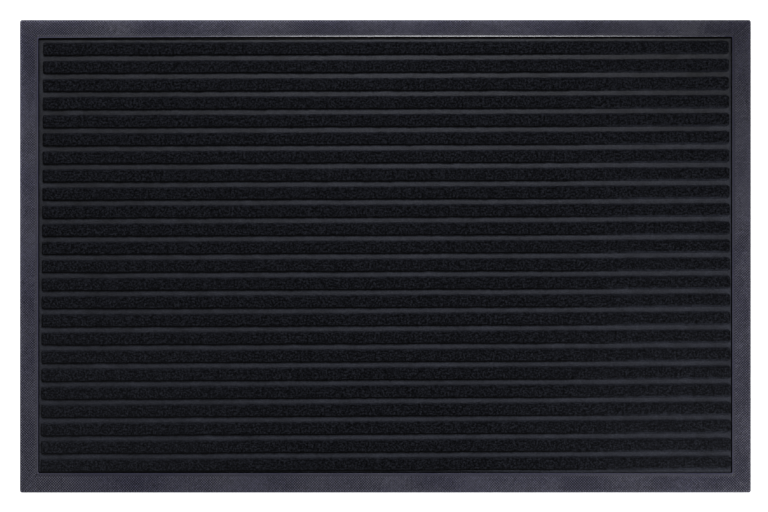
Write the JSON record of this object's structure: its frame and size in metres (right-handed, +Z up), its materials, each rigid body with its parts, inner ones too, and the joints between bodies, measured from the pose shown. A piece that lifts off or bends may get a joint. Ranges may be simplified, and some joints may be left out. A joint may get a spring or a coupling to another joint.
{
  "type": "door mat",
  "caption": "Flat rectangular door mat: a rubber tray with a ramped border and raised lip, holding a ribbed needle-felt carpet insert with dark pile rows.",
  "frame": {"origin": "on the floor, under the middle of the mat", "axes": "+X along the long side, +Y along the short side towards the back edge, +Z up out of the tread surface"},
  "size_m": [0.7, 0.452, 0.0082],
  "materials": {
    "rubber": "matte black rubber with a faint purple cast and a fine cross-hatched grain",
    "glue": "translucent amber hot-melt film, hidden under the carpet",
    "felt": "pressed needle-punched polypropylene felt, dark grey",
    "pile": "open needled pile, near black, matt and slightly fuzzy"
  },
  "bodies": {
    "root": {"rubber_tray": "rubber", "bonding_film": "glue", "pressed_felt": "felt", "pile_rib_01": "pile", "pile_rib_02": "pile", "pile_rib_03": "pile", "pile_rib_04": "pile", "pile_rib_05": "pile", "pile_rib_06": "pile", "pile_rib_07": "pile", "pile_rib_08": "pile", "pile_rib_09": "pile", "pile_rib_10": "pile", "pile_rib_11": "pile", "pile_rib_12": "pile", "pile_rib_13": "pile", "pile_rib_14": "pile", "pile_rib_15": "pile", "pile_rib_16": "pile", "pile_rib_17": "pile", "pile_rib_18": "pile", "pile_rib_19": "pile", "pile_rib_20": "pile", "pile_rib_21": "pile", "pile_rib_22": "pile", "pile_rib_23": "pile", "pile_rib_24": "pile"}
  },
  "joints": []
}
